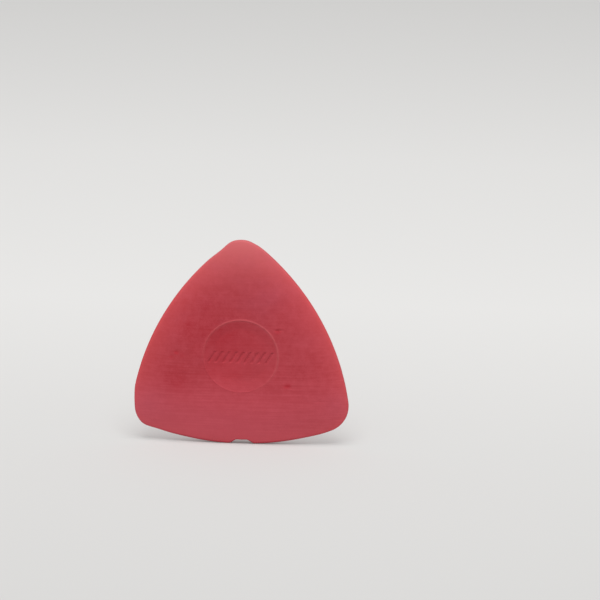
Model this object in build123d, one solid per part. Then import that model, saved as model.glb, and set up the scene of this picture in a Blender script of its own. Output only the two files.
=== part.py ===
from build123d import *
import math
import os

os.makedirs("parts", exist_ok=True)

# A triangular tailor's chalk: one tablet of pressed clay chalk, thick in the middle and thin at its three
# bowed marking edges. Millimetres. +Z is up to the pointed corner, +X is to the right of someone who faces
# the dished front, and the front faces -Y. The origin is on the surface that the chalk stands on, under the
# middle of the tablet.

# Outline, seen from the front
CHALK_WIDTH = 58.0  # from one lower corner to the other
SIDE_RADIUS = 68.0  # of each bowed marking edge
CORNER_RADIUS = 7.0

# Section, from the flat middle out to the marking edge
MIDDLE_THICKNESS = 6.0
EDGE_THICKNESS = 1.6  # of the blunt land all round
EDGE_CHAMFER = 0.25  # that blunts the land's two rims
TAPER_WIDTH = 11.5  # from the land to the flat middle, square to a side
MIDDLE_CORNER_RADIUS = 5.0  # of the flat middle's own three corners

# Dish for the thumb, pressed into the front, with the fine raised ring left by the round insert of the die
DISH_DIAMETER = 20.0
DISH_DEPTH = 0.8
DISH_RISE = 1.2  # of the dish's middle above the middle of the tablet
RING_WIDTH = 0.8
RING_HEIGHT = 0.12

# Notch in the middle of the lowest edge
NOTCH_MOUTH_WIDTH = 6.8
NOTCH_ROOF_WIDTH = 3.2
NOTCH_DEPTH = 1.05
NOTCH_SHOULDER_RADIUS = 2.0
NOTCH_ROOF_RADIUS = 1.2

# How far the pressed faces run past the die wall that trims them
OVERRUN = 0.4

# The three corners lie half way between the three sides. The first side is the lowest one.
SIDE_COUNT = 3
TURN = 360 / SIDE_COUNT
FIRST_SIDE_ANGLE = -90
TAPER_STEPS = 6  # spans that the loft makes of the taper's round section


def at_angle(distance, angle):
    """The point at a distance from the middle, in a direction given in degrees."""
    return Vector(distance, 0).rotate(Axis.Z, angle)


def other_leg(far_side, leg):
    """The leg that is left in a triangle with an angle of 120 degrees between its two legs."""
    return (math.sqrt(4 * far_side**2 - 3 * leg**2) - leg) / 2


# From the middle out to the centre of a corner's arc, back to the centre of a side's arc, and out to a side
CORNER_CENTRE = (CHALK_WIDTH / 2 - CORNER_RADIUS) / math.cos(math.radians(TURN / 4))
SIDE_CENTRE = other_leg(SIDE_RADIUS - CORNER_RADIUS, CORNER_CENTRE)
MIDDLE_TO_SIDE = SIDE_RADIUS - SIDE_CENTRE


def touch_point(side_angle, corner_angle, side_radius, corner_centre):
    """Where the arc of a side runs smoothly into the arc of a corner."""
    side_centre = at_angle(-SIDE_CENTRE, side_angle)
    towards_corner = at_angle(corner_centre, corner_angle) - side_centre
    return side_centre + towards_corner * (side_radius / towards_corner.length)


def rounded_triangle(inset, corner_radius):
    """The outline drawn in by an inset: sides about the same centres, and corners of their own radius."""
    side_radius = SIDE_RADIUS - inset
    corner_centre = other_leg(side_radius - corner_radius, SIDE_CENTRE)
    arcs = []
    for side in range(SIDE_COUNT):
        angle = FIRST_SIDE_ANGLE + side * TURN
        corner_angle = angle + TURN / 2
        start = touch_point(angle, angle - TURN / 2, side_radius, corner_centre)
        end = touch_point(angle, corner_angle, side_radius, corner_centre)
        beyond = touch_point(angle + TURN, corner_angle, side_radius, corner_centre)
        arcs.append(ThreePointArc(start, at_angle(MIDDLE_TO_SIDE - inset, angle), end))
        arcs.append(ThreePointArc(end, at_angle(corner_centre + corner_radius, corner_angle), beyond))
    return make_face(arcs)


def notched_outline():
    """The outline of the die wall: the rounded triangle with the notch taken out of its lowest side."""
    half_mouth = NOTCH_MOUTH_WIDTH / 2
    half_roof = NOTCH_ROOF_WIDTH / 2
    shoulder = SIDE_CENTRE - math.sqrt(SIDE_RADIUS**2 - half_mouth**2)
    roof = NOTCH_DEPTH - MIDDLE_TO_SIDE
    below = -MIDDLE_TO_SIDE - OVERRUN
    notch = Polygon(
        (half_roof, roof),
        (-half_roof, roof),
        (-half_mouth, shoulder),
        (-half_mouth, below),
        (half_mouth, below),
        (half_mouth, shoulder),
        align=None,
    )
    outline = rounded_triangle(0, CORNER_RADIUS) - notch
    roof_corners = outline.vertices().sort_by(Axis.Y)[2:4]
    outline = fillet(roof_corners, NOTCH_ROOF_RADIUS)
    shoulders = outline.vertices().sort_by(Axis.Y)[:2]
    return fillet(shoulders, NOTCH_SHOULDER_RADIUS)


def pressed_face():
    """One pressed face, lofted along its round section from past the die wall up to the flat middle."""
    fall = (MIDDLE_THICKNESS - EDGE_THICKNESS) / 2
    section_radius = (TAPER_WIDTH**2 + fall**2) / (2 * fall)
    steepest = math.asin((TAPER_WIDTH + OVERRUN) / section_radius)
    outlines = []
    for step in range(TAPER_STEPS + 1):
        slope = steepest * (1 - step / TAPER_STEPS)
        inset = TAPER_WIDTH - section_radius * math.sin(slope)
        height = MIDDLE_THICKNESS / 2 - section_radius * (1 - math.cos(slope))
        corner_radius = CORNER_RADIUS + (MIDDLE_CORNER_RADIUS - CORNER_RADIUS) * inset / TAPER_WIDTH
        outlines.append(Pos(0, 0, height) * rounded_triangle(inset, corner_radius))
    core = extrude(outlines[0], -2 * outlines[0].center().Z)
    return core + loft(outlines)


def blank():
    """The lens of two pressed faces, trimmed by the die wall, with the two rims of its land blunted."""
    front = pressed_face()
    lens = front + mirror(front, Plane.XY)
    trimmed = lens & extrude(notched_outline(), MIDDLE_THICKNESS, both=True)
    walls = trimmed.faces().filter_by(GeomType.BSPLINE, reverse=True).filter_by(Axis.Z, reverse=True)
    rims = walls.edges().filter_by(Axis.Z, reverse=True)
    return chamfer(rims, EDGE_CHAMFER)


def dish_ball():
    """The large ball that hollows the front for the thumb."""
    dish_radius = DISH_DIAMETER / 2
    ball_radius = (dish_radius**2 + DISH_DEPTH**2) / (2 * DISH_DEPTH)
    height = MIDDLE_THICKNESS / 2 - DISH_DEPTH + ball_radius
    return Pos(0, DISH_RISE, height) * Sphere(ball_radius)


def dish_ring():
    """The fine raised ring round the dish, sunk in the face so that only its crown shows."""
    ring_radius = (RING_WIDTH**2 / 4 + RING_HEIGHT**2) / (2 * RING_HEIGHT)
    height = MIDDLE_THICKNESS / 2 + RING_HEIGHT - ring_radius
    return Pos(0, DISH_RISE, height) * Torus(DISH_DIAMETER / 2, ring_radius)


def chalk_tablet():
    """The whole chalk, lying on its back with its middle at the origin."""
    return blank() - dish_ball() + dish_ring()


tablet = chalk_tablet()
lift = -notched_outline().bounding_box().min.Y
upright = Plane.XZ * Pos(0, lift, 0) * tablet
export_step(upright, "parts/chalk_tablet.step")
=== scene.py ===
# %% [markdown]
# # A pressed tailor's chalk
# A tailor's chalk is one small tablet of clay, colour and a little wax, pressed dry in a steel die. It
# marks cloth with its thin bowed edges, and the dish in its front is for the thumb. The whole object is
# this one piece, so all the work goes into one surface: its form, its wear and its dry, dusty finish.
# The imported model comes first, because it fixes where everything is. Everything below is in metres.

# %% The frame
import bpy
import math
from mathutils import Matrix, Vector


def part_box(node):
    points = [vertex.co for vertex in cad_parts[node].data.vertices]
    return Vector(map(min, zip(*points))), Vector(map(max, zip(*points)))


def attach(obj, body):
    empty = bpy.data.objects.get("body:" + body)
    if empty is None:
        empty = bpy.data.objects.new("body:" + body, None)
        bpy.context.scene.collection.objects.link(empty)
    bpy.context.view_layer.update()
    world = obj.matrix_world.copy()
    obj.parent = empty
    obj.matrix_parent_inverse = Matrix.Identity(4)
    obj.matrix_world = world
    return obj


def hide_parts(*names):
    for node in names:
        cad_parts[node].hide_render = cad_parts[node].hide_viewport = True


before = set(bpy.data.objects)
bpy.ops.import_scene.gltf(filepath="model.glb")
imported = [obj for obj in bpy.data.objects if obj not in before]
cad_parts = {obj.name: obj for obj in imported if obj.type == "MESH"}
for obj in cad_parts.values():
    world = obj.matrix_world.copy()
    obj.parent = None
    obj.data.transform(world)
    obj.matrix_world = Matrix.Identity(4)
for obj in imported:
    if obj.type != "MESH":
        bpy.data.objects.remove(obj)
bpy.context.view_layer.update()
node_low, node_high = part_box("chalk_tablet")
print("chalk_tablet is", [round(side, 5) for side in node_high - node_low], "metres")

# %% [markdown]
# ## Sums in a node tree
# Both the shape and the finish of the chalk follow formulas. Geometry Nodes and shader nodes can both work
# them out with Math nodes, but a long formula is hard to read as a list of links. So one small class stands
# for a number in a tree, and Python's own signs add the Math nodes. The same few helpers then serve the
# shape and the material.

# %% Numbers that live in a node tree
class Value:
    """A number in a node tree. A sum of two of them adds a Math node to that tree."""

    def __init__(self, tree, socket):
        self.tree = tree
        self.socket = socket

    def __add__(self, other):
        return sum_node("ADD", self, other)

    def __radd__(self, other):
        return sum_node("ADD", other, self)

    def __sub__(self, other):
        return sum_node("SUBTRACT", self, other)

    def __rsub__(self, other):
        return sum_node("SUBTRACT", other, self)

    def __mul__(self, other):
        return sum_node("MULTIPLY", self, other)

    def __rmul__(self, other):
        return sum_node("MULTIPLY", other, self)

    def __truediv__(self, other):
        return sum_node("DIVIDE", self, other)


def feed(tree, socket, value):
    """Gives an input a number, a vector, a colour or another node's output."""
    if isinstance(value, Value):
        tree.links.new(value.socket, socket)
    else:
        socket.default_value = value


def add_node(tree, kind, inputs=None, **settings):
    """A new node with its settings, and its inputs fed by their names or places."""
    node = tree.nodes.new(kind)
    for name, setting in settings.items():
        setattr(node, name, setting)
    for name, value in (inputs or {}).items():
        feed(tree, node.inputs[name], value)
    return node


def sum_node(operation, *values):
    """One Math node, in the tree of the values that it works on."""
    tree = next(value.tree for value in values if isinstance(value, Value))
    node = add_node(tree, "ShaderNodeMath", dict(enumerate(values)), operation=operation)
    return Value(tree, node.outputs[0])


print("numbers in a node tree can be added, subtracted, multiplied and divided")

# %% [markdown]
# ## The words of the formulas
# A rule such as "half the thickness falls along an arc" needs a few words more than plus and times. Each
# is one short function here, named for what it says, so that the rules further down read like sentences.

# %% Words for formulas
def root(value):
    return sum_node("SQRT", value)


def sine(value):
    return sum_node("SINE", value)


def cosine(value):
    return sum_node("COSINE", value)


def size_of(value):
    return sum_node("ABSOLUTE", value)


def larger(first, second):
    return sum_node("MAXIMUM", first, second)


def is_less(first, second):
    """1 where the first is less than the second, and 0 elsewhere."""
    return sum_node("LESS_THAN", first, second)


def diagonal(first, second):
    """How far away a point is, from its two distances that are square to each other."""
    return root(first * first + second * second)


def share_of_way(value, start, end):
    """0 before the start, 1 after the end, and a straight line between them."""
    node = add_node(value.tree, "ShaderNodeMapRange", {0: value, 1: start, 2: end})
    return Value(value.tree, node.outputs[0])


def soft_share(value, start, end):
    """The same with a soft start and a soft end."""
    inputs = {0: value, 1: start, 2: end}
    node = add_node(value.tree, "ShaderNodeMapRange", inputs, interpolation_type="SMOOTHSTEP")
    return Value(value.tree, node.outputs[0])


def between(first, second, share):
    """The first at share 0 and the second at share 1."""
    return share * (second - first) + first


def bell(distance, width):
    """A soft hill: 1 at distance 0, and nearly 0 from about two widths on."""
    return sum_node("POWER", math.e, -1 * distance * distance / (width * width))


def point(x, y, z):
    """Three numbers as one position."""
    tree = next(part.tree for part in (x, y, z) if isinstance(part, Value))
    node = add_node(tree, "ShaderNodeCombineXYZ", {0: x, 1: y, 2: z})
    return Value(tree, node.outputs[0])


def smooth_noise(position, step, detail=2.0, stretch=(1, 1, 1), roughness=0.5):
    """Noise from -1 to 1, whose lumps are about one step apart, drawn out along an axis by its stretch."""
    tree = position.tree
    scale = [1 / (step * part) for part in stretch]
    scaled = add_node(tree, "ShaderNodeVectorMath", {0: position, 1: scale}, operation="MULTIPLY")
    place = Value(tree, scaled.outputs[0])
    inputs = {"Vector": place, "Scale": 1.0, "Detail": detail, "Roughness": roughness}
    noise = add_node(tree, "ShaderNodeTexNoise", inputs)
    return (Value(tree, noise.outputs[0]) - 0.5) * 2


print("the words of the formulas are ready")

# %% [markdown]
# ## The form of the tablet
# Seen from the front the chalk is a rounded triangle: three bowed sides, each an arc, and three corner
# arcs. Cut through, it is a lens with a flat middle that falls away along an arc to a thin blunt edge. A
# form that follows a rule like this could be modelled by hand from a subdivided cage, but then each size is
# spread over many points. A Geometry Nodes tree keeps the rule itself. Its inputs are the sizes below, and
# its mesh is as fine as it needs to be.
# The overall width is read from the frame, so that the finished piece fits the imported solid.

SIZES = {
    "Width": node_high.x - node_low.x,
    "Side radius": 0.068,
    "Corner radius": 0.007,
    "Middle thickness": 0.006,
    "Edge thickness": 0.0016,
    "Edge rounding": 0.00025,
    "Taper width": 0.0115,
    "Middle corner radius": 0.005,
    "Dish diameter": 0.02,
    "Dish depth": 0.0008,
    "Dish rise": 0.0012,
    "Ring width": 0.0006,
    "Ring height": 0.00012,
    "Notch mouth": 0.0068,
    "Notch roof": 0.0032,
    "Notch depth": 0.00105,
}

# %% [markdown]
# ## A grid without a pole
# A round surface made of rings and spokes crowds its points at the middle, where the thumb dish needs an
# even mesh. So each face starts as a square grid, and its concentric squares are turned into concentric
# rings. Each ring has eight points more than the last, so the mesh is about as fine at the rim as at the
# middle. The counts below say how many rings each zone of the face gets.

# %% Rings of the mesh, from the middle of a face out to the edge
DISH_RINGS = 48
CREST_RINGS = 10
FLAT_RINGS = 14
TAPER_RINGS = 31
ROUNDING_RINGS = 3
LAND_RINGS = 3
CREST_START = DISH_RINGS
FLAT_START = CREST_START + CREST_RINGS
TAPER_START = FLAT_START + FLAT_RINGS
ROUNDING_START = TAPER_START + TAPER_RINGS
LAND_START = ROUNDING_START + ROUNDING_RINGS
ALL_RINGS = LAND_START + LAND_RINGS

EIGHTH_TURN = math.pi / 4
QUARTER_TURN = math.pi / 2
SIXTH_TURN = math.pi / 3
DOWN = -QUARTER_TURN


def ring_and_turn(across, up):
    """The ring that a point of the square grid belongs to, and its direction in radians."""
    wide = size_of(across)
    tall = size_of(up)
    sideways = is_less(tall, wide)
    slope_beside = up / across * EIGHTH_TURN
    slope_above = across / up * EIGHTH_TURN
    beside = is_less(across, 0) * math.pi + slope_beside
    above = QUARTER_TURN - is_less(up, 0) * math.pi - slope_above
    return larger(wide, tall) * ALL_RINGS, between(above, beside, sideways)


print(ALL_RINGS, "rings on each face,", 2 * 2 * (2 * ALL_RINGS) ** 2, "triangles in all")

# %% [markdown]
# ## The outline and the section
# These are the rules of the form, each as one short function. The outline is found along a ray from the
# middle: near the middle of a side the ray meets the side's arc, and past the point where the arcs touch it
# meets the corner's arc. The section is the arc that the pressed face follows from the land, which is the
# blunt edge, to the flat middle. A drawn curve would do for one size. These rules follow every change.

# %% Rules of the outline and the section
def other_leg(far_side, leg):
    """The leg that is left in a triangle with an angle of 120 degrees between its two legs."""
    return (root(4 * far_side * far_side - 3 * leg * leg) - leg) / 2


def arc_radius(half_chord, rise):
    """The radius of an arc that rises so much over half its chord."""
    return (half_chord * half_chord + rise * rise) / (2 * rise)


def outline_reach(size, turn, inset, corner_radius):
    """How far the rounded triangle reaches in a direction, when it is drawn in by an inset."""
    side_radius = size["Side radius"] - inset
    corner_centre = other_leg(side_radius - corner_radius, size["Side centre"])
    off_side = size_of(sum_node("WRAP", turn - DOWN, SIXTH_TURN, -SIXTH_TURN))
    off_corner = SIXTH_TURN - off_side
    across_side = size["Side centre"] * sine(off_side)
    across_corner = corner_centre * sine(off_corner)
    on_side = root(side_radius * side_radius - across_side * across_side)
    on_side = on_side - size["Side centre"] * cosine(off_side)
    on_corner = root(corner_radius * corner_radius - across_corner * across_corner)
    on_corner = on_corner + corner_centre * cosine(off_corner)
    stretch = side_radius / (side_radius - corner_radius)
    touch_across = corner_centre * math.sin(SIXTH_TURN) * stretch
    touch_out = (corner_centre * math.cos(SIXTH_TURN) + size["Side centre"]) * stretch - size["Side centre"]
    touch = sum_node("ARCTAN2", touch_across, touch_out)
    return between(on_corner, on_side, is_less(off_side, touch))


def section_height(size, inset):
    """Half the thickness of the lens, at an inset from its outline."""
    fall = (size["Middle thickness"] - size["Edge thickness"]) / 2
    radius = arc_radius(size["Taper width"], fall)
    along = larger(size["Taper width"] - inset, 0)
    return size["Middle thickness"] / 2 - radius + root(radius * radius - along * along)


print("the outline and the section have their rules")

# %% [markdown]
# ## The dish and its ring
# The dish is part of a ball, hollowed into the flat middle. The fine raised ring round it is what the die's
# round insert leaves: the crown of a thin ring that is sunk in the face. A soft maximum runs the two into
# each other. On the real chalk the ring is rubbed by the thumb, most of all along its lower half. A boolean
# could cut the dish, but it would leave long thin triangles round it, and a rule keeps the mesh even.

# %% Rule of the dish
RING_RUBBED = 0.00005
RING_RUBBED_BELOW = 0.00004
# how far above the dish's middle its ring is rubbed lower, as a share of the dish's radius
RING_RUBBED_UP_TO = 0.3
RING_BLEND = 0.00006


def dish_height(size, across, up):
    """The front's height near the dish: the ball's hollow, the flat round it, and the ring between them."""
    half = size["Dish diameter"] / 2
    above = up - size["Dish rise"]
    reach = diagonal(across, above)
    ball = arc_radius(half, size["Dish depth"])
    hollow = ball - size["Dish depth"] - root(ball * ball - reach * reach)
    floor = hollow * is_less(reach, half)
    wire = arc_radius(size["Ring width"] / 2, size["Ring height"])
    off_ring = reach - half
    crown = size["Ring height"] - wire + root(wire * wire - off_ring * off_ring)
    lower_half = 1 - soft_share(above, -1 * half, half * RING_RUBBED_UP_TO)
    rubbed = RING_RUBBED + RING_RUBBED_BELOW * lower_half
    return sum_node("SMOOTH_MAX", floor, crown - rubbed, RING_BLEND)


print("the dish has its rule")

# %% [markdown]
# ## Wear
# No pressed chalk keeps the die's exact form. Its edges have been rubbed by handling, one lower corner is
# knocked flat, and the notch in the lowest edge has soft shoulders. Wear could be sculpted on the finished
# mesh, but then it would be lost at the next change of a size. Here it is one more rule. It takes material
# from the edge, so it is added to the inset: the land moves in, and grows a little thicker, as it would on
# the real tablet. Each worn place is a soft hill round the outline, and a low noise makes the rest of the
# edge slightly uneven.

# %% Worn places round the outline
# direction in degrees, counted from straight right towards the top corner, so that 270 is the notch's, then
# width in degrees and depth in metres, where less than 0 stands out
WORN_PLACES = (
    (204.0, 5.0, 0.00055),
    (217.0, 4.5, -0.00045),
    (226.0, 7.0, -0.00015),
    (318.0, 7.0, -0.0002),
    (84.0, 3.0, 0.0002),
    (95.0, 3.5, -0.00014),
    (102.0, 4.5, 0.00018),
    (270.0, 14.0, 0.00006),
    (268.5, 2.5, 0.00016),
    (274.0, 4.0, 0.00018),
)
WEAR_REACH = 0.0035
UNEVEN_EDGE = 0.00007
UNEVEN_STEP = 0.006
UNEVEN_START = -0.0225
NOTCH_OFF_MIDDLE = 0.0005


def notch_depth(size, across, up):
    """How far the notch cuts in at a point of the outline. Wear has shifted it a little to the right."""
    half_roof = size["Notch roof"] / 2
    half_mouth = size["Notch mouth"] / 2
    off_middle = size_of(across - NOTCH_OFF_MIDDLE)
    straight = share_of_way(off_middle, half_roof, half_mouth)
    rounded = soft_share(off_middle, half_roof, half_mouth)
    return size["Notch depth"] * (1 - (straight + rounded) / 2) * is_less(up, 0)


def edge_wear(size, turn, rim_across, rim_up):
    """What the notch, the worn places and the uneven edge take off at a point of the rim."""
    wear = notch_depth(size, rim_across, rim_up)
    for degrees, width, depth in WORN_PLACES:
        off = sum_node("WRAP", turn - math.radians(degrees), math.pi, -math.pi)
        wear = wear + bell(off, math.radians(width)) * depth
    uneven = (smooth_noise(point(rim_across, 0, rim_up), UNEVEN_STEP) + 1) * (UNEVEN_EDGE / 2)
    return wear + uneven * soft_share(rim_up, UNEVEN_START, UNEVEN_START + UNEVEN_STEP)


print(len(WORN_PLACES), "worn places round the outline")

# %% [markdown]
# ## Relief of the faces
# A real pressed face is never quite flat: it rises and falls by a few hundredths of a millimetre, which is
# what makes light play over it. It also has fine drag lines from the press and a few chips, where a grain
# has come out. A bump in the material could fake how the light falls, but not a chip seen from the side.
# The mesh is fine enough for them, so they go in the shape.

# %% Swells, drag lines and chips
# place across and up from the tablet's middle, width across, width up and depth
CHIPS = (
    (0.0099, 0.0086, 0.0008, 0.0003, 0.00025),
    (0.0127, -0.0069, 0.0010, 0.0003, 0.00015),
    (-0.0172, 0.0018, 0.0005, 0.0004, 0.00012),
    (-0.0184, 0.0006, 0.0004, 0.0004, 0.00010),
    (0.0213, -0.0109, 0.0012, 0.0002, 0.00008),
)
SWELL = 0.00003
SWELL_STEP = 0.009
DRAG = 0.000003
DRAG_STEP = 0.0010
DRAG_STRETCH = (26, 1, 1)


def face_relief(across, up):
    """How far a face stands out at a place, in metres."""
    place = point(across, 0, up)
    relief = (smooth_noise(place, SWELL_STEP) - 1) * SWELL
    relief = relief + smooth_noise(place, DRAG_STEP, stretch=DRAG_STRETCH) * DRAG
    for chip_across, chip_up, wide, tall, depth in CHIPS:
        sideways = (across - chip_across) / wide
        upwards = (up - chip_up) / tall
        relief = relief - bell(diagonal(sideways, upwards), 1) * depth
    return relief


print(len(CHIPS), "chips")

# %% [markdown]
# ## Grip marks
# A thumb slips on smooth chalk, so the dish holds a short row of plain slanting marks. They could be cut
# with a boolean, but nine cutters on a fine mesh leave slivers. Here the row is one more rule for the
# height of the front. Wrapping the distance along the row makes a single groove repeat, and the slant
# shifts each height of it sideways.

# %% Row of grip marks
GRIP_MARKS = 9
GRIP_PITCH = 0.0019
GRIP_HEIGHT = 0.0032
GRIP_STROKE = 0.00065
GRIP_FLANK = 0.7  # from a mark's deepest line to the face, as a share of its stroke
GRIP_DEPTH = 0.00025
GRIP_UP = 0.0008
GRIP_SLANT = math.radians(30)


def grip_relief(across, up):
    """The row of slanting marks in the dish, each a short groove with round ends."""
    above = up - GRIP_UP
    along_row = across - above * math.tan(GRIP_SLANT)
    in_row = is_less(size_of(along_row), GRIP_PITCH * GRIP_MARKS / 2)
    beside = sum_node("WRAP", along_row, GRIP_PITCH / 2, -GRIP_PITCH / 2) * math.cos(GRIP_SLANT)
    past_end = larger(size_of(above) - (GRIP_HEIGHT - GRIP_STROKE) / 2, 0)
    off_line = diagonal(beside, past_end)
    return -GRIP_DEPTH * in_row * (1 - soft_share(off_line, 0, GRIP_STROKE * GRIP_FLANK))


# %% [markdown]
# ## One face from the rules
# One function turns the flat grid into a face: it works out an inset for each ring, wears it, and sends
# the point to its place across, up and out. The front and the plain back differ only in the dish and the
# marks. The grid's rings go on round the rim to half way through the land, where the two faces will meet.
# The finish needs to know how far each point is from the edge. That is worked out from the flat grid, so it
# is stored before the points move.

# %% One pressed face
# how far the finest rings of the mesh reach to each side of the raised ring's middle, in that ring's widths
CREST_SHARE = 0.65
# how far in from the edge the relief of the face is at its full height
RELIEF_FADE = 0.0015


def pressed_face(tree, size, front):
    """Half of the tablet's skin: out over one face and round to the middle of the land."""
    grid_side = 2 * ALL_RINGS + 1
    grid_inputs = {"Size X": 2.0, "Size Y": 2.0, "Vertices X": grid_side, "Vertices Y": grid_side}
    grid = add_node(tree, "GeometryNodeMeshGrid", grid_inputs)
    here = add_node(tree, "GeometryNodeInputPosition")
    parts = add_node(tree, "ShaderNodeSeparateXYZ", {0: Value(tree, here.outputs[0])})
    ring, turn = ring_and_turn(Value(tree, parts.outputs[0]), Value(tree, parts.outputs[1]))

    rounding = size["Edge rounding"]
    down_taper = share_of_way(ring, TAPER_START, ROUNDING_START)
    round_rim = share_of_way(ring, ROUNDING_START, LAND_START) * QUARTER_TURN
    to_middle = share_of_way(ring, LAND_START, ALL_RINGS)
    plain_inset = between(size["Taper width"], rounding, down_taper) - rounding * sine(round_rim)

    rim_reach = outline_reach(size, turn, 0, size["Corner radius"])
    wear = edge_wear(size, turn, rim_reach * cosine(turn), rim_reach * sine(turn))
    inset = plain_inset + wear * (1 - share_of_way(plain_inset, 0, WEAR_REACH))
    inwards = plain_inset / size["Taper width"]
    corner_radius = between(size["Corner radius"], size["Middle corner radius"], inwards)
    outer_reach = outline_reach(size, turn, inset, corner_radius)

    half_crest = size["Ring width"] * CREST_SHARE
    dish_edge = size["Dish diameter"] / 2 - half_crest
    crest = share_of_way(ring, CREST_START, FLAT_START) * half_crest * 2
    inner_reach = share_of_way(ring, 0, CREST_START) * dish_edge + crest
    outwards = share_of_way(ring, FLAT_START, TAPER_START)
    reach = between(inner_reach, outer_reach, outwards)
    across = reach * cosine(turn)
    up = reach * sine(turn) + size["Dish rise"] * (1 - outwards)

    land_half = section_height(size, wear) - rounding
    rim_top = section_height(size, rounding + wear)
    over_rim = between(rim_top, land_half, 1 - cosine(round_rim)) * (1 - to_middle)
    on_face = section_height(size, inset)
    if front:
        on_face = on_face + dish_height(size, across, up) + grip_relief(across, up)
    on_face = on_face + face_relief(across, up) * soft_share(plain_inset, 0, RELIEF_FADE)
    height = between(on_face, over_rim, is_less(ROUNDING_START, ring))

    marked = add_node(
        tree,
        "GeometryNodeStoreNamedAttribute",
        {"Geometry": Value(tree, grid.outputs[0]), "Name": "from_edge", "Value": plain_inset},
        data_type="FLOAT",
        domain="POINT",
    )
    side = -1 if front else 1
    place = point(across, height * side, up + size["Rest height"])
    place_inputs = {"Geometry": Value(tree, marked.outputs[0]), "Position": place}
    mesh = add_node(tree, "GeometryNodeSetPosition", place_inputs)
    if front:
        return Value(tree, mesh.outputs[0])
    turned = add_node(tree, "GeometryNodeFlipFaces", {"Mesh": Value(tree, mesh.outputs[0])})
    return Value(tree, turned.outputs[0])


print("one face has its rule")

# %% [markdown]
# ## The whole tablet in one tree
# The tree calls the face twice, for the front and for the back. The two faces meet half way through the
# land, where merging the points that lie together closes the skin. Its inputs are the sizes, so a size can
# be changed in the modifier without touching the rules.

# %% The tree of the whole tablet
MERGE_DISTANCE = 0.000001


def tablet_tree(material):
    """The Geometry Nodes tree of the chalk, with its sizes as inputs."""
    tree = bpy.data.node_groups.new("pressed tablet", "GeometryNodeTree")
    for name, value in SIZES.items():
        socket = tree.interface.new_socket(name=name, in_out="INPUT", socket_type="NodeSocketFloat")
        socket.default_value = value
    tree.interface.new_socket(name="Geometry", in_out="OUTPUT", socket_type="NodeSocketGeometry")
    entry = tree.nodes.new("NodeGroupInput")
    size = {name: Value(tree, entry.outputs[name]) for name in SIZES}
    corner_centre = (size["Width"] / 2 - size["Corner radius"]) / math.cos(SIXTH_TURN / 2)
    size["Side centre"] = other_leg(size["Side radius"] - size["Corner radius"], corner_centre)
    size["Rest height"] = node_high.z - corner_centre - size["Corner radius"]

    join = tree.nodes.new("GeometryNodeJoinGeometry")
    for front in (True, False):
        tree.links.new(pressed_face(tree, size, front).socket, join.inputs[0])
    joined = Value(tree, join.outputs[0])
    merge_inputs = {"Geometry": joined, "Distance": MERGE_DISTANCE}
    merged = add_node(tree, "GeometryNodeMergeByDistance", merge_inputs)
    smooth_inputs = {"Geometry": Value(tree, merged.outputs[0])}
    smooth = add_node(tree, "GeometryNodeSetShadeSmooth", smooth_inputs)
    whole_inputs = {"Geometry": Value(tree, smooth.outputs[0])}
    whole = add_node(tree, "GeometryNodeRealizeInstances", whole_inputs)
    finish_inputs = {"Geometry": Value(tree, whole.outputs[0]), "Material": material}
    finished = add_node(tree, "GeometryNodeSetMaterial", finish_inputs)
    leave = tree.nodes.new("NodeGroupOutput")
    tree.links.new(finished.outputs[0], leave.inputs[0])
    return tree


print("the tablet's tree has its functions")

# %% [markdown]
# ## The finish, layer by layer
# Pressed chalk is matt and dry, and its red is uneven. One noise texture would look like marble, so the
# finish is built up in layers: first the red body, deeper red in soft places and painted lighter low in
# the dish, then rubbed edges and dust, partly painted highlight and bounce light, then powder drawn out by
# the press, and last the chips, a painted highlight on the ring and painted shade on the lowest rim. Each
# layer is mixed over the ones before it. All of them read the tablet's own coordinates or the stored
# distance from the edge, so the finish stays where it is on the chalk.

# %% What the layers read
CLOUDS_STEP = 0.005
BLOOMS_STEP = 0.0042
BLOOMS_STRETCH = (1.3, 1, 1)
MOTTLE_STEP = 0.0016
STREAKS_STEP = 0.0004
STREAKS_STRETCH = (30, 3, 1)
GRAINS_STEP = 0.00045
GRAINS_ROUGHNESS = 0.7


def spot_on_chalk(tree, middle_height):
    """What the finish knows of a point: its place, its face, and its distance from the edge and the ring."""
    coordinates = add_node(tree, "ShaderNodeTexCoord")
    position = Value(tree, coordinates.outputs["Object"])
    parts = add_node(tree, "ShaderNodeSeparateXYZ", {0: position})
    edge = add_node(tree, "ShaderNodeAttribute", attribute_name="from_edge", attribute_type="GEOMETRY")
    spot = {"position": position, "across": Value(tree, parts.outputs[0])}
    spot["up"] = Value(tree, parts.outputs[2]) - middle_height
    spot["from edge"] = Value(tree, edge.outputs["Fac"])
    spot["on front"] = is_less(Value(tree, parts.outputs[1]), 0)
    spot["above dish"] = spot["up"] - SIZES["Dish rise"]
    spot["off ring"] = diagonal(spot["across"], spot["above dish"]) - SIZES["Dish diameter"] / 2
    return spot


def noises_at(position):
    """The noises of the finish, from broad clouds down to single grains."""
    return {
        "clouds": smooth_noise(position, CLOUDS_STEP),
        "blooms": smooth_noise(position, BLOOMS_STEP, stretch=BLOOMS_STRETCH),
        "mottle": smooth_noise(position, MOTTLE_STEP),
        "streaks": smooth_noise(position, STREAKS_STEP, detail=1.0, stretch=STREAKS_STRETCH),
        "grains": smooth_noise(position, GRAINS_STEP, roughness=GRAINS_ROUGHNESS),
    }


def lay_over(colour, layer, share):
    """One more layer of colour, which covers as much as its share from 0 to 1 says."""
    tree = share.tree
    node = add_node(tree, "ShaderNodeMix", data_type="RGBA")
    feed(tree, node.inputs["Factor"], share_of_way(share, 0, 1))
    for name, value in (("A", colour), ("B", layer)):
        sockets = [socket for socket in node.inputs if socket.name == name and socket.type == "RGBA"]
        feed(tree, sockets[0], value)
    outputs = [socket for socket in node.outputs if socket.type == "RGBA"]
    return Value(tree, outputs[0])


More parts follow.
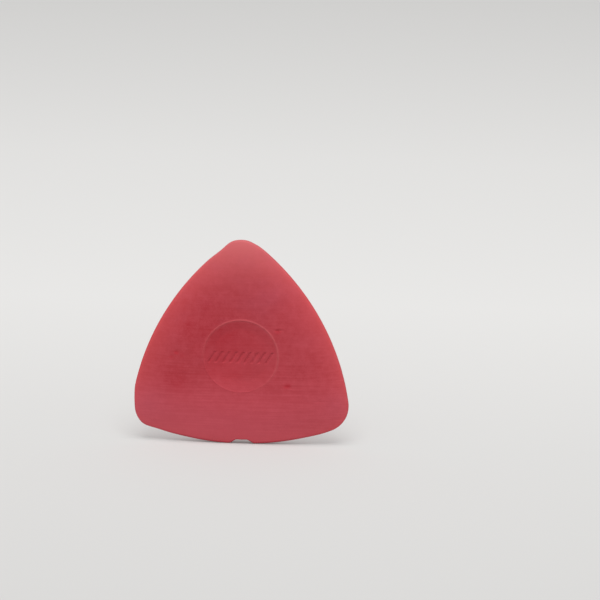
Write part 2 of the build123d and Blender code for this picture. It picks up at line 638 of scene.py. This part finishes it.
def soft_places(spot, places):
    """Soft round places of the finish, each as strong in its middle as its last number says."""
    hills = []
    for place_across, place_up, width, strength in places:
        off = diagonal(spot["across"] - place_across, spot["up"] - place_up)
        hills.append(bell(off, width) * strength)
    return sum(hills)


# %% [markdown]
# ## The red body
# The body is an even red, with broad soft clouds where the mix was richer. Soft places make it a deeper
# red, most of all in the upper part of the dish and to its left. The lower part of the dish is lighter and
# warmer: partly a warmer red of its own, partly painted light that evens out the dish's own shading there.
# The back shows less of the deeper places and none of the lighter one. A mask for it could be painted, but
# soft round places take less work and can be moved one by one.

# %% Body red
BODY_RED = (0.383, 0.0295, 0.0415, 1.0)
DEEP_RED = (0.352, 0.010, 0.020, 1.0)
WARM_LIGHT_RED = (0.480, 0.022, 0.036, 1.0)
CLOUDS_IN_RED = 0.3
BACK_SHARE = 0.4  # how much of the front's deeper places the back shows

# across and up from the tablet's middle, width and strength
DEEP_PLACES = (
    (-0.0042, 0.0058, 0.0055, 0.75),
    (-0.0125, 0.0070, 0.0060, 0.35),
    (-0.0168, -0.0064, 0.0036, 0.70),
    (0.0040, 0.0050, 0.0045, 0.25),
    (-0.0076, -0.0024, 0.0030, 0.32),
    (-0.0093, 0.0150, 0.0018, 0.40),
    (-0.0140, 0.0096, 0.0014, 0.35),
)
# the lower part of the dish, lighter and warmer: a warmer red of its own, and painted light
DISH_LIGHT_PLACES = ((-0.0026, -0.0032, 0.0046, 0.30),)


def deep_and_lit_body(spot, noise):
    """The body's red, deeper in soft places, and lighter and warmer low in the dish, partly painted light.
    """
    deep_share = between(BACK_SHARE, 1.0, spot["on front"])
    deep = noise["clouds"] * CLOUDS_IN_RED + soft_places(spot, DEEP_PLACES) * deep_share
    dish_light = soft_places(spot, DISH_LIGHT_PLACES) * spot["on front"]
    colour = lay_over(BODY_RED, DEEP_RED, deep)
    return lay_over(colour, WARM_LIGHT_RED, dish_light)


print(len(DEEP_PLACES), "deeper places in the body's red")

# %% [markdown]
# ## Rubbed edges, dust and painted light
# Dust of the chalk's own colour lies on it: pink low down, pale on the top corner, and mauve in soft
# blooms on the upper part and by the lower corners. The pink also paints bounce light from the floor, which
# makes the lower part lighter, and the pale top corner is also a painted highlight where the top catches
# the lamp. The edges are rubbed to a clear light red, which fades inwards. Part of this is a painted
# highlight, weaker low down and brightest on the rim itself, where the thin land catches the light. All
# this could be painted on an unwrapped mesh. Here each layer is worked out from a height, a few soft
# places or the distance to the edge, so it has no seams. A power curve makes the rubbed edge and the pale
# corner start slowly, and grow quickly towards the rim and the top.

# %% Rubbed edges, dust and painted light
# pink dust low down, which also paints bounce light from the floor and makes the lower part lighter
PINK_DUST_AND_BOUNCE = (0.514, 0.070, 0.097, 1.0)
PINK_START = -0.004
PINK_END = -0.022
PINK_TILT = 7.0  # the share of it that is lost for each metre to the right

# the rubbed edge: wear, and a painted highlight that is weaker low down
RUBBED_HIGHLIGHT_RED = (0.575, 0.064, 0.072, 1.0)
RUBBED_HIGHLIGHT_WIDTH = 0.009
RUBBED_HIGHLIGHT_CURVE = 2.2
RUBBED_HIGHLIGHT_SHARE = 0.62
# a painted highlight on the rim itself, where the thin land catches the light
RIM_HIGHLIGHT_WIDTH = 0.0012
RIM_HIGHLIGHT_SHARE = 0.35
RUBBED_HIGHLIGHT_LOW = -0.022
RUBBED_HIGHLIGHT_HIGH = 0.010
RUBBED_HIGHLIGHT_LOW_SHARE = 0.55

# pale dust on the top corner and a painted highlight there; the same colour paints the ring's highlight
PALE_DUST_AND_HIGHLIGHT = (0.545, 0.122, 0.130, 1.0)
PALE_START = 0.014
PALE_END = 0.034
PALE_CURVE = 2.1

MAUVE_DUST = (0.430, 0.078, 0.122, 1.0)
MAUVE_PLACES = (
    (0.0058, 0.0165, 0.0060, 0.22),
    (0.0265, -0.0120, 0.0042, 0.20),
    (-0.0255, -0.0135, 0.0050, 0.22),
)
MAUVE_BLOOMS = 0.22
MAUVE_START = -0.006
MAUVE_END = 0.010


def dust_and_painted_light(colour, spot, noise):
    """The colour under pink dust and bounce light, rubbed edges and highlights, pale dust and highlight, and
    mauve blooms.
    """
    up = spot["up"]
    # pink dust and painted bounce light, low down
    pink = share_of_way(up, PINK_START, PINK_END) * (1 - spot["across"] * PINK_TILT)
    near_edge = 1 - share_of_way(spot["from edge"], 0, RUBBED_HIGHLIGHT_WIDTH)
    # rubbed edge and painted highlight, brightest on the rim and weaker low down
    rubbed = sum_node("POWER", near_edge, RUBBED_HIGHLIGHT_CURVE) * RUBBED_HIGHLIGHT_SHARE
    rubbed = rubbed + (1 - share_of_way(spot["from edge"], 0, RIM_HIGHLIGHT_WIDTH)) * RIM_HIGHLIGHT_SHARE
    rubbed = rubbed * between(RUBBED_HIGHLIGHT_LOW_SHARE, 1.0, share_of_way(up, RUBBED_HIGHLIGHT_LOW, RUBBED_HIGHLIGHT_HIGH))
    # pale dust and painted highlight on the top corner
    pale = sum_node("POWER", share_of_way(up, PALE_START, PALE_END), PALE_CURVE)
    mauve = noise["blooms"] * MAUVE_BLOOMS * share_of_way(up, MAUVE_START, MAUVE_END)
    mauve = mauve + soft_places(spot, MAUVE_PLACES)
    colour = lay_over(colour, PINK_DUST_AND_BOUNCE, pink)
    colour = lay_over(colour, RUBBED_HIGHLIGHT_RED, rubbed)
    colour = lay_over(colour, PALE_DUST_AND_HIGHLIGHT, pale)
    return lay_over(colour, MAUVE_DUST, mauve)


# the four layers: pink dust and bounce light, rubbed edge and highlight, pale dust and highlight, mauve
print("four layers of rubbing and dust")

# %% [markdown]
# ## Powder
# A thin pale powder lies over everything, unevenly, and a little more of it on the right. Broad clouds, a
# mottle and single grains break it up, and the press has drawn it out into fine level streaks, which show
# most on the lower half. The thumb keeps the dish smoother than the rest. A picture of real dust would show
# its seams or repeat. A sum of noises does neither, and each of them can be turned up or down by itself.

# %% Powder
POWDER = (0.600, 0.095, 0.125, 1.0)
POWDER_EVERYWHERE = 0.08
POWDER_ON_RIGHT = 0.05
RIGHT_START = -0.002
RIGHT_END = 0.012
POWDER_CLOUDS = 0.15
POWDER_MOTTLE = 0.17
POWDER_STREAKS = 0.24
POWDER_GRAINS = 0.16
STREAKS_START = 0.008
STREAKS_END = -0.010
STREAKS_ABOVE = 0.35
DISH_SMOOTHER = 0.3
DISH_BLEND = 0.0012


def powdered(colour, spot, noise):
    """The colour under a thin uneven powder with streaks from the press."""
    even = POWDER_EVERYWHERE + share_of_way(spot["across"], RIGHT_START, RIGHT_END) * POWDER_ON_RIGHT
    streaky = between(STREAKS_ABOVE, 1.0, share_of_way(spot["up"], STREAKS_START, STREAKS_END))
    uneven = noise["clouds"] * POWDER_CLOUDS + noise["mottle"] * POWDER_MOTTLE
    uneven = uneven + noise["streaks"] * streaky * POWDER_STREAKS
    uneven = uneven + noise["grains"] * POWDER_GRAINS
    in_dish = (1 - share_of_way(spot["off ring"], -DISH_BLEND, 0)) * spot["on front"]
    return lay_over(colour, POWDER, even + uneven * (1 - in_dish * DISH_SMOOTHER))


print("one layer of powder")

# %% [markdown]
# ## Chips, ring and lower rim
# Three small things lie on top. The chips show fresh deep red, because no dust has settled in them. The
# crown of the ring gets a fine pale line, a painted highlight, most of it at the upper right, where the
# light comes from. The lowest rim, which stands on the table, is painted darker: painted shade where it
# faces down. They could be painted in a map, but they follow forms that are already known: the places of
# the chips, the circle of the ring and the distance from the edge.

# %% Chips, ring and lower rim
FRESH_RED = (0.405, 0.006, 0.018, 1.0)
FRESH_PLACES = (
    (0.0098, 0.0084, 0.0008, 0.45),
    (0.0122, -0.0067, 0.0007, 0.55),
    (0.0131, -0.0066, 0.0006, 0.50),
    (-0.0172, 0.0017, 0.0006, 0.50),
    (-0.0184, 0.0006, 0.0005, 0.28),
    (-0.0156, 0.0010, 0.0006, 0.22),
)
# painted highlight on the crown of the ring, strongest towards the upper right, where the light comes from
RING_HIGHLIGHT = 0.26
RING_HIGHLIGHT_WIDTH = 0.00034
RING_HIGHLIGHT_START = -0.008
RING_HIGHLIGHT_END = 0.004
RING_HIGHLIGHT_TILT = 0.5  # how much a step to the right counts as a step up

# painted shade on the lowest rim, which faces down to the table
SHADED_RIM_RED = (0.270, 0.010, 0.022, 1.0)
RIM_SHADE = 0.6
RIM_SHADE_WIDTH = 0.0007
RIM_SHADE_FULL_WIDTH = 0.0002
RIM_SHADE_START = -0.0185
RIM_SHADE_END = -0.0225


def chips_and_painted_light(colour, spot):
    """The colour with fresh red in the chips, a painted highlight on the ring and painted shade on the
    lowest rim.
    """
    fresh = soft_places(spot, FRESH_PLACES) * spot["on front"]
    towards_light = spot["above dish"] + spot["across"] * RING_HIGHLIGHT_TILT
    # painted highlight on the ring's crown
    ring_highlight = bell(spot["off ring"], RING_HIGHLIGHT_WIDTH)
    ring_highlight = ring_highlight * share_of_way(towards_light, RING_HIGHLIGHT_START, RING_HIGHLIGHT_END) * spot["on front"]
    # painted shade along the lowest rim
    rim_shade = 1 - share_of_way(spot["from edge"], RIM_SHADE_FULL_WIDTH, RIM_SHADE_WIDTH)
    rim_shade = rim_shade * share_of_way(spot["up"], RIM_SHADE_START, RIM_SHADE_END)
    colour = lay_over(colour, FRESH_RED, fresh)
    colour = lay_over(colour, PALE_DUST_AND_HIGHLIGHT, ring_highlight * RING_HIGHLIGHT)
    return lay_over(colour, SHADED_RIM_RED, rim_shade * RIM_SHADE)


print(len(FRESH_PLACES), "spots of fresh red in the chips")

# %% [markdown]
# ## The material
# The layers give the colour. The streaks and the grains also give a very low bump, because they are too
# fine for the mesh, and the grains vary the roughness a little, so that the matt surface has no single even
# sheen. One Principled shader is enough, because chalk is neither metal nor glass.

# %% Material of the chalk
BUMP_STREAKS = 0.35
BUMP_GRAINS = 0.65
BUMP_STRENGTH = 0.25
BUMP_DISTANCE = 0.00008
MATT = 0.74
MATT_VARIES = 0.06
SHINE = 0.35


def chalk_material(middle_height):
    """Pressed red chalk, rubbed and dusty, with painted highlights, bounce light and shade in its colour."""
    material = bpy.data.materials.new("pressed_chalk_finish")
    material.use_nodes = True
    tree = material.node_tree
    tree.nodes.clear()
    spot = spot_on_chalk(tree, middle_height)
    noise = noises_at(spot["position"])
    colour = deep_and_lit_body(spot, noise)
    colour = dust_and_painted_light(colour, spot, noise)
    colour = powdered(colour, spot, noise)
    colour = chips_and_painted_light(colour, spot)

    relief = noise["streaks"] * BUMP_STREAKS + noise["grains"] * BUMP_GRAINS
    bump_inputs = {"Strength": BUMP_STRENGTH, "Distance": BUMP_DISTANCE, "Height": relief}
    bump = add_node(tree, "ShaderNodeBump", bump_inputs)
    shader_inputs = {
        "Base Color": colour,
        "Roughness": MATT + noise["grains"] * MATT_VARIES,
        "Specular IOR Level": SHINE,
        "Normal": Value(tree, bump.outputs[0]),
    }
    shader = add_node(tree, "ShaderNodeBsdfPrincipled", shader_inputs)
    out = add_node(tree, "ShaderNodeOutputMaterial")
    tree.links.new(shader.outputs[0], out.inputs[0])
    return material


middle_height = node_high.z - (SIZES["Width"] / 2 - SIZES["Corner radius"]) / math.cos(SIXTH_TURN / 2)
middle_height -= SIZES["Corner radius"]
chalk_finish = chalk_material(middle_height)

# %% [markdown]
# ## From the tree to a plain mesh
# The modifier works out the mesh, and new_from_object keeps the result. The modifier itself then goes,
# because the finished piece has to be a plain mesh whose object sits at the origin.

# %% The tablet
def tablet_piece(tree):
    """Runs the tree on an empty mesh and returns the result as a plain object."""
    carrier = bpy.data.objects.new("tree_carrier", bpy.data.meshes.new("tree_carrier"))
    bpy.context.scene.collection.objects.link(carrier)
    modifier = carrier.modifiers.new("pressed tablet", "NODES")
    modifier.node_group = tree
    for item in tree.interface.items_tree:
        if item.in_out == "INPUT":
            modifier[item.identifier] = SIZES[item.name]
    bpy.context.view_layer.update()
    evaluated = carrier.evaluated_get(bpy.context.evaluated_depsgraph_get())
    mesh = bpy.data.meshes.new_from_object(evaluated)
    mesh.name = "pressed_tablet"
    carrier.modifiers.clear()
    bpy.data.objects.remove(carrier)
    piece = bpy.data.objects.new("pressed_tablet", mesh)
    bpy.context.scene.collection.objects.link(piece)
    return piece


tablet = tablet_piece(tablet_tree(chalk_finish))
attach(tablet, "root")
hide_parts("chalk_tablet")
triangles = sum(len(face.vertices) - 2 for face in tablet.data.polygons)
print("tablet:", len(tablet.data.vertices), "points,", triangles, "triangles")

# %% [markdown]
# ## The floor
# The chalk stands on a plain pale sheet, as on a photographer's table. The sheet is a little darker in
# front and far behind: a colour ramp along its depth paints this fall-off of the light. A stronger lamp
# would make the sheet as pale as it should be, but it would bleach the chalk too. So a part of what the
# camera, the shiny and the see-through rays find there is the sheet's own pale colour, whatever the lamp
# does. The rest is lit as usual, which keeps the chalk's soft shadow. Where the chalk touches the sheet
# the pale part fades out, because that thin line is dark.

# %% Floor
# how far behind the chalk, and how pale the floor is there, which paints the fall-off of the light
FLOOR_TONES = ((-0.13, 0.556), (0.0, 0.606), (0.14, 0.690), (0.32, 0.692), (0.58, 0.630))
FLOOR_TINT = (1.0, 0.992, 0.978)
FLOOR_SIZE = 6.0
FLOOR_ROUGHNESS = 0.9
BASE_HEIGHT = node_low.z
# how much of what is seen is the floor's own colour, and how much paler than the lit sheet's that colour is
SEEN_SHARE = 0.45
SEEN_PALER = 1.3
# half the width and depth of the dark line where the chalk meets the floor
CONTACT_WIDTH = 0.020
CONTACT_DEPTH = 0.0024
CONTACT_DARK = 0.85


def floor_tone(away):
    """The floor's colour, from in front of the chalk to far behind it."""
    start = FLOOR_TONES[0][0]
    end = FLOOR_TONES[-1][0]
    ramp = add_node(away.tree, "ShaderNodeValToRGB", {0: share_of_way(away, start, end)})
    stops = ramp.color_ramp.elements
    while len(stops) < len(FLOOR_TONES):
        stops.new(0.5)  # the loop below gives it its place
    for stop, (place, tone) in zip(stops, FLOOR_TONES):
        stop.position = (place - start) / (end - start)
        stop.color = (tone * FLOOR_TINT[0], tone * FLOOR_TINT[1], tone * FLOOR_TINT[2], 1.0)
    return Value(away.tree, ramp.outputs[0])


def floor_material():
    """A matt pale sheet, which the camera sees partly in its own pale colour."""
    material = bpy.data.materials.new("pale_floor")
    material.use_nodes = True
    tree = material.node_tree
    coordinates = add_node(tree, "ShaderNodeTexCoord")
    parts = add_node(tree, "ShaderNodeSeparateXYZ", {0: Value(tree, coordinates.outputs["Object"])})
    beside = Value(tree, parts.outputs[0])
    away = Value(tree, parts.outputs[1])
    colour = floor_tone(away)
    matt = tree.nodes["Principled BSDF"]
    feed(tree, matt.inputs["Base Color"], colour)
    feed(tree, matt.inputs["Roughness"], FLOOR_ROUGHNESS)
    feed(tree, matt.inputs["Specular IOR Level"], 0.0)
    paler = add_node(tree, "ShaderNodeVectorMath", {0: colour, "Scale": SEEN_PALER}, operation="SCALE")
    seen_inputs = {"Color": Value(tree, paler.outputs[0]), "Strength": 1.0}
    own_colour = add_node(tree, "ShaderNodeEmission", seen_inputs)
    path = add_node(tree, "ShaderNodeLightPath")
    rays = [Value(tree, path.outputs[f"Is {ray} Ray"]) for ray in ("Camera", "Glossy", "Transmission")]
    contact = bell(diagonal(beside / CONTACT_WIDTH, away / CONTACT_DEPTH), 1)
    seen = share_of_way(rays[0] + rays[1] + rays[2], 0, 1) * SEEN_SHARE * (1 - contact * CONTACT_DARK)
    mix = add_node(tree, "ShaderNodeMixShader", {0: seen})
    tree.links.new(matt.outputs[0], mix.inputs[1])
    tree.links.new(own_colour.outputs[0], mix.inputs[2])
    tree.links.new(mix.outputs[0], tree.nodes["Material Output"].inputs[0])
    return material


def floor_piece():
    """A large flat sheet under the chalk."""
    mesh = bpy.data.meshes.new("floor")
    half = FLOOR_SIZE / 2
    sides = ((-half, -half), (half, -half), (half, half), (-half, half))
    mesh.from_pydata([(x, y, BASE_HEIGHT) for x, y in sides], [], [(0, 1, 2, 3)])
    floor = bpy.data.objects.new("floor", mesh)
    bpy.context.scene.collection.objects.link(floor)
    mesh.materials.append(floor_material())
    return floor


floor_piece()
print("one floor,", FLOOR_SIZE, "m wide")

# %% [markdown]
# ## The light
# One large soft lamp hangs high above and in front of the chalk, so it shades the dish softly from the top
# and drops the shadow behind. A picture of a room could give the rest of the light, but a plain world is
# easier to match: pale walls all round, which get darker towards the ceiling. Together with the floor they
# light the lower part of the tablet, which slopes away from the lamp.

# %% Lamp and world
LAMP_PLACE = (0.03, -0.32, 0.82)
LAMP_SIZE = 0.6
LAMP_POWER = 6.6
WALL_COLOUR = (1.0, 1.0, 0.995, 1.0)
HORIZON_LIGHT = 1.0
ZENITH_LIGHT = 0.25


def soft_lamp(name, place, aim, size, power):
    """A square lamp that faces a point."""
    data = bpy.data.lights.new(name, "AREA")
    data.shape = "SQUARE"
    data.size = size
    data.energy = power
    lamp = bpy.data.objects.new(name, data)
    lamp.location = place
    lamp.rotation_euler = (Vector(aim) - Vector(place)).to_track_quat("-Z", "Y").to_euler()
    bpy.context.scene.collection.objects.link(lamp)
    return lamp


def pale_world():
    """Pale walls all round that get darker towards the ceiling."""
    world = bpy.data.worlds.new("pale_world")
    world.use_nodes = True
    tree = world.node_tree
    coordinates = add_node(tree, "ShaderNodeTexCoord")
    parts = add_node(tree, "ShaderNodeSeparateXYZ", {0: Value(tree, coordinates.outputs["Generated"])})
    upwards = share_of_way(Value(tree, parts.outputs[2]), 0, 1)
    background = tree.nodes["Background"]
    feed(tree, background.inputs["Color"], WALL_COLOUR)
    feed(tree, background.inputs["Strength"], between(HORIZON_LIGHT, ZENITH_LIGHT, upwards))
    bpy.context.scene.world = world


middle = Vector((0, 0, middle_height))
soft_lamp("overhead_lamp", LAMP_PLACE, middle, LAMP_SIZE, LAMP_POWER)
pale_world()
print("one lamp and a pale world")

# %% [markdown]
# ## The camera
# The photograph was taken with a long lens from a little above the tablet's middle and a little to its
# right. The camera is placed by those two angles and turned by a slight roll. Then it is aimed beside the
# tablet, so that the tablet's middle lands on the pixel where the photograph has it. Aiming costs no lens
# shift.

# %% Camera
PICTURE_SIDE = 600
MIDDLE_PIXEL = (241.1, 357.7)
PIXELS_PER_METRE = 3750
VIEW_AZIMUTH = math.radians(3.3)
VIEW_ELEVATION = math.radians(16.4)
VIEW_ROLL = math.radians(0.85)
VIEW_DISTANCE = 1.2
SENSOR_WIDTH = 36.0
CLIP_START = 0.01
CLIP_END = 20.0


def photo_camera():
    """A camera at the photograph's viewing angle, with the tablet at the photograph's place and scale."""
    data = bpy.data.cameras.new("camera")
    data.sensor_width = SENSOR_WIDTH
    data.lens = SENSOR_WIDTH * PIXELS_PER_METRE * VIEW_DISTANCE / PICTURE_SIDE
    data.clip_start = CLIP_START
    data.clip_end = CLIP_END
    camera = bpy.data.objects.new("camera", data)
    level = math.cos(VIEW_ELEVATION)
    back_across = math.sin(VIEW_AZIMUTH) * level
    back_along = -math.cos(VIEW_AZIMUTH) * level
    back = Vector((back_across, back_along, math.sin(VIEW_ELEVATION)))
    right = Vector((math.cos(VIEW_AZIMUTH), math.sin(VIEW_AZIMUTH), 0))
    right = Matrix.Rotation(VIEW_ROLL, 3, back) @ right
    up = back.cross(right)
    right_of_middle = (PICTURE_SIDE / 2 - MIDDLE_PIXEL[0]) / PIXELS_PER_METRE
    above_middle = (MIDDLE_PIXEL[1] - PICTURE_SIDE / 2) / PIXELS_PER_METRE
    aim = middle + right * right_of_middle + up * above_middle
    place = middle + back * VIEW_DISTANCE
    look_back = (place - aim).normalized()
    look_right = up.cross(look_back).normalized()
    look_up = look_back.cross(look_right)
    axes = Matrix((look_right, look_up, look_back)).transposed()
    camera.matrix_world = Matrix.Translation(place) @ axes.to_4x4()
    bpy.context.scene.collection.objects.link(camera)
    bpy.context.scene.camera = camera
    return camera


camera = photo_camera()
bpy.context.scene.view_settings.view_transform = "Standard"
print("lens", round(camera.data.lens, 1), "mm")
